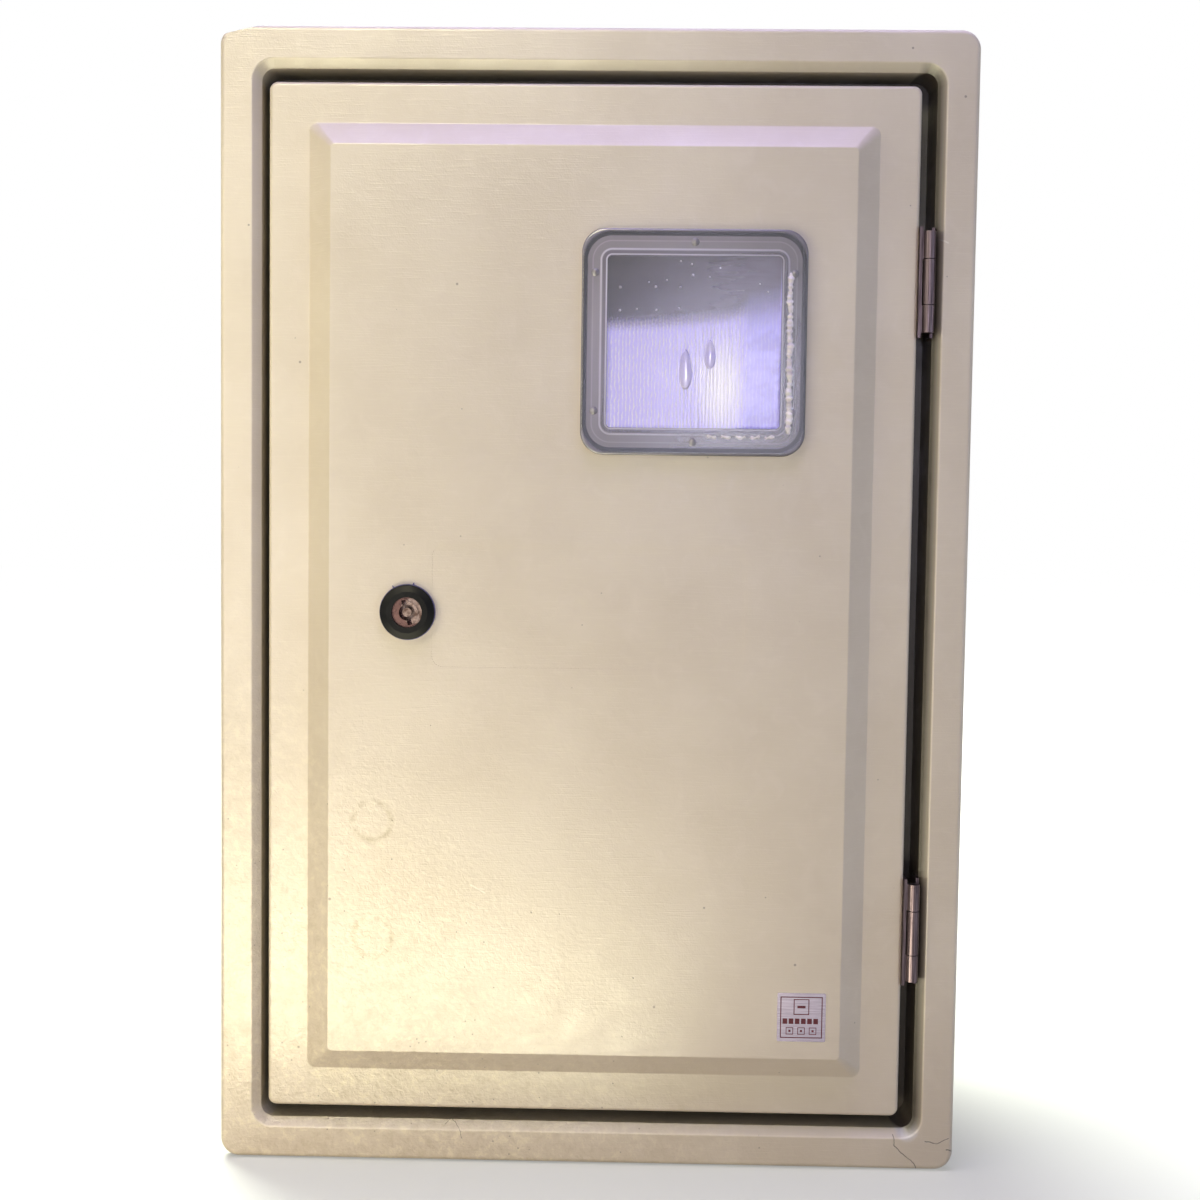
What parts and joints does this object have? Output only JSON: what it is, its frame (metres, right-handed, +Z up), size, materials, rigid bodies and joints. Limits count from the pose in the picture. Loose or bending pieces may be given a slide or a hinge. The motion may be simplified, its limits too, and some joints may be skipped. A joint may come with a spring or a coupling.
{
  "type": "flush electric meter box",
  "caption": "Flush wall box in moulded polyester with a hinged door, a clear reading window, a quarter-turn lock and a mounting plate for a meter.",
  "frame": {"origin": "centre of the four wall fixings on the outer back face of the box", "axes": "+Z up along the height, +Y into the wall, so the door faces -Y; +X to the right when looking at the door"},
  "size_m": [0.4, 0.2134, 0.61],
  "materials": {
    "polyester": "satin moulded glass-reinforced polyester",
    "clear_polycarbonate": "clear moulded polycarbonate",
    "seal_rubber": "smooth dark seal rubber",
    "foam_rubber": "closed-cell foam strip",
    "black_nylon": "satin moulded nylon",
    "zinc_casting": "die-cast zinc",
    "hinge_steel": "plated steel",
    "rivet_alloy": "plain aluminium",
    "zinc_steel": "bright zinc plate",
    "galvanised_steel": "galvanised sheet",
    "brass": "turned brass",
    "label_foil": "brushed foil with a dark red border"
  },
  "bodies": {
    "enclosure": {"body_shell": "polyester", "brass_inserts": "brass", "mounting_plate": "galvanised_steel", "plate_washers": "zinc_steel", "plate_screws": "zinc_steel", "device_rail": "zinc_steel", "rail_screws": "zinc_steel", "earth_bolt": "brass", "earth_washer": "brass", "earth_nut": "brass", "strike_plate": "zinc_steel", "strike_rivets": "rivet_alloy", "frame_leaf_upper": "hinge_steel", "frame_leaf_lower": "hinge_steel", "hinge_pin_upper": "hinge_steel", "hinge_pin_lower": "hinge_steel", "frame_leaf_rivets": "rivet_alloy"},
    "door": {"door_panel": "polyester", "door_gasket": "foam_rubber", "door_leaf_upper": "hinge_steel", "door_leaf_lower": "hinge_steel", "door_leaf_rivets": "rivet_alloy", "window_lens": "clear_polycarbonate", "window_seal": "seal_rubber", "window_clips": "zinc_steel", "lock_housing": "black_nylon", "lock_seal": "seal_rubber", "lock_nut": "zinc_steel", "door_label": "label_foil"},
    "lock": {"lock_core": "zinc_casting", "lock_cam": "zinc_steel", "cam_washer": "zinc_steel", "cam_screw": "zinc_steel"}
  },
  "joints": [
    {"name": "door_swing", "type": "hinge", "parent": "enclosure", "child": "door", "pos_m": [0.1753, -0.201, 0], "axis": [0, 0, 1], "range_deg": [0, 170]},
    {"name": "lock_turn", "type": "hinge", "parent": "door", "child": "lock", "pos_m": [-0.098, -0.2, -0.0035], "axis": [0, -1, 0], "range_deg": [-16, 74]}
  ]
}
